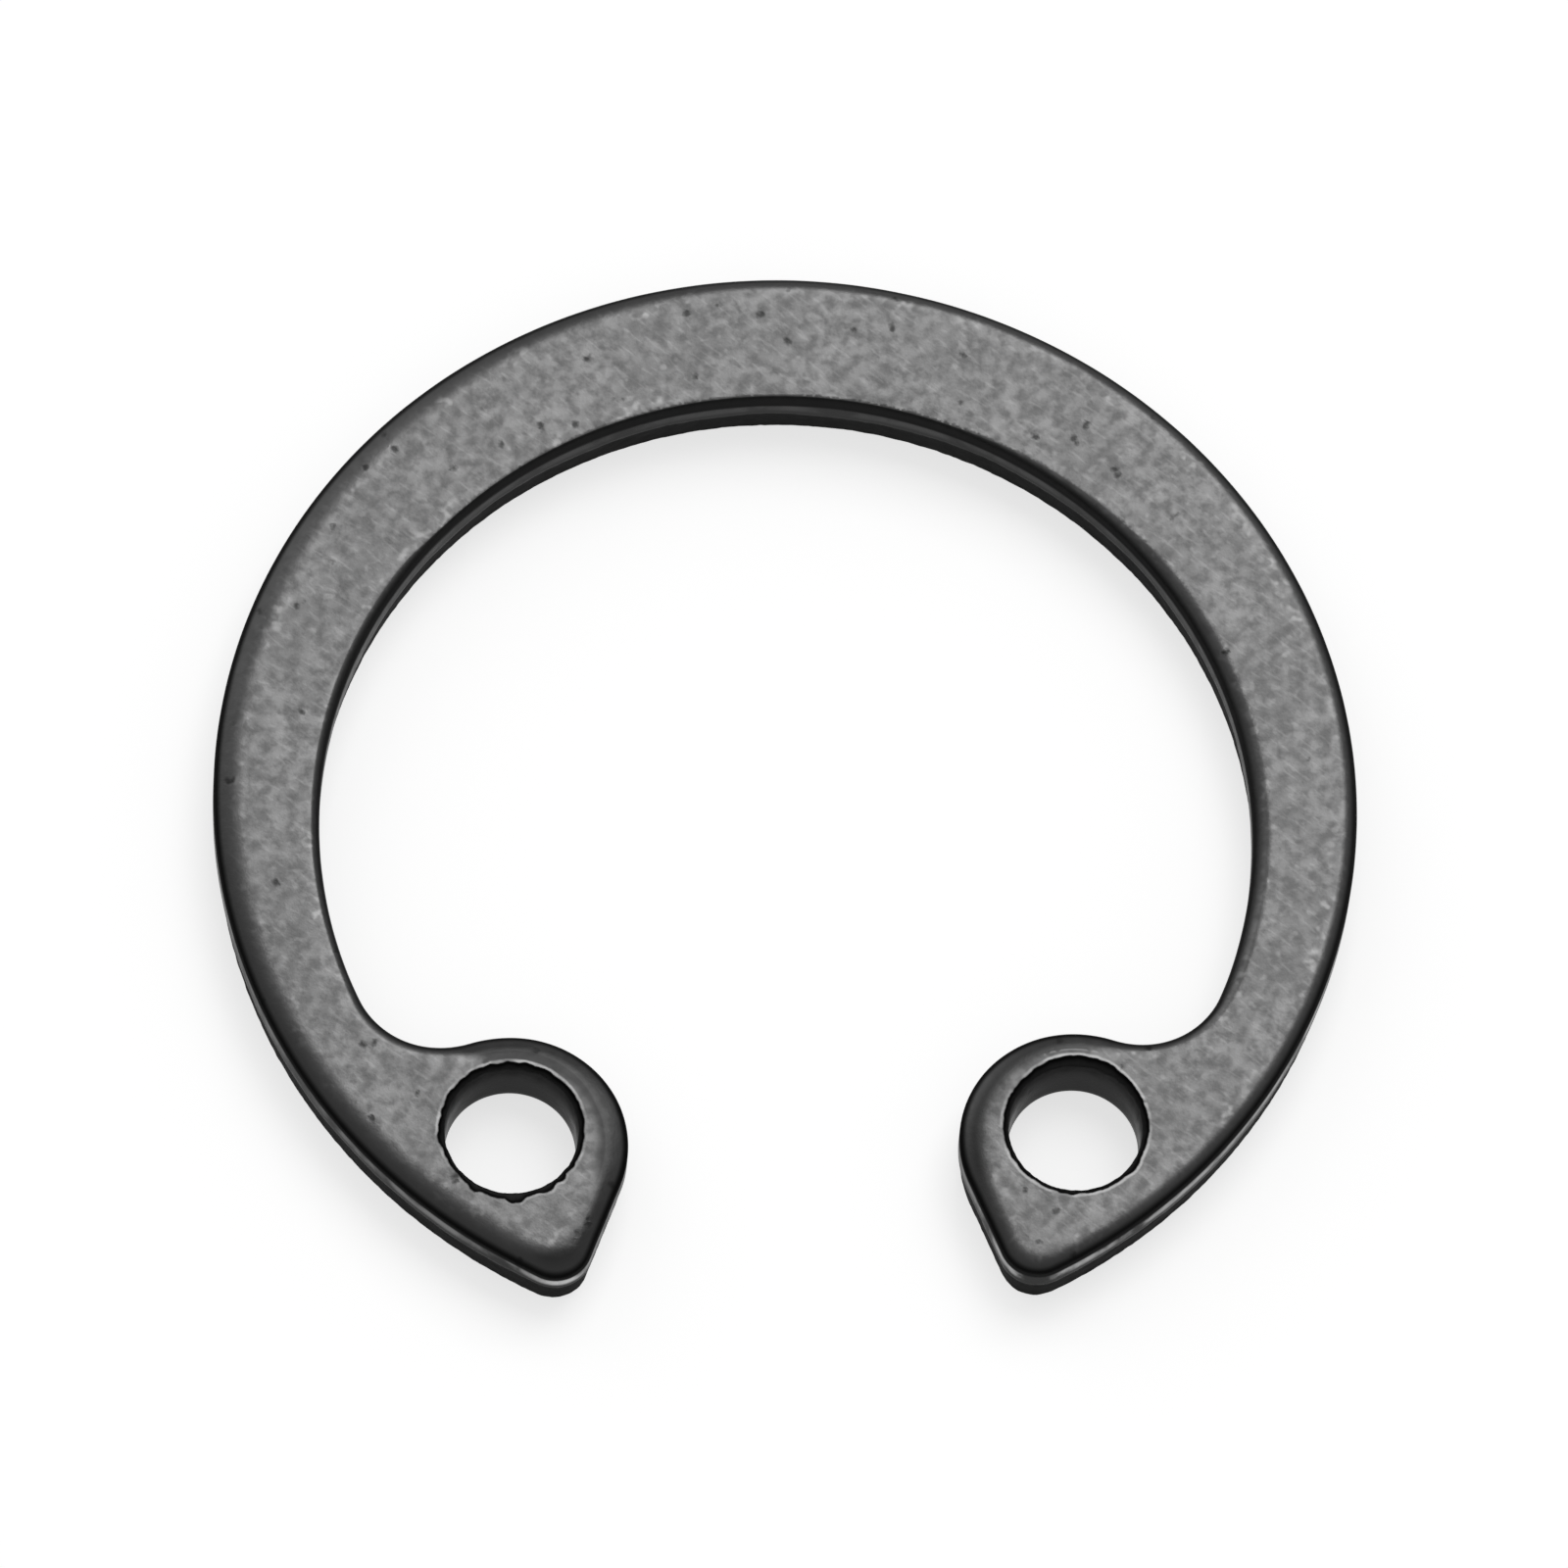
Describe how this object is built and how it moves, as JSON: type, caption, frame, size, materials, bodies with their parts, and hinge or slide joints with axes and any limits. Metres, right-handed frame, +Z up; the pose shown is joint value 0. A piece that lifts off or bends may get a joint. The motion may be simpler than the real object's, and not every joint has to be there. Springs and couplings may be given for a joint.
{
  "type": "internal retaining ring",
  "caption": "Open flat spring-steel ring that grips the groove in a bore, with an off-centre band and eyed lugs for pliers at the gap.",
  "frame": {"origin": "centre of the outer rim, in the plane of the lower face that the ring lies on", "axes": "+Z up along the axis of the rim, the gap between the lugs towards -Y, +X across the gap"},
  "size_m": [0.0162, 0.0154, 0.001],
  "materials": {
    "phosphated_spring_steel": "tumbled and phosphated, satin dark grey"
  },
  "bodies": {
    "root": {"retaining_ring": "phosphated_spring_steel"}
  },
  "joints": []
}
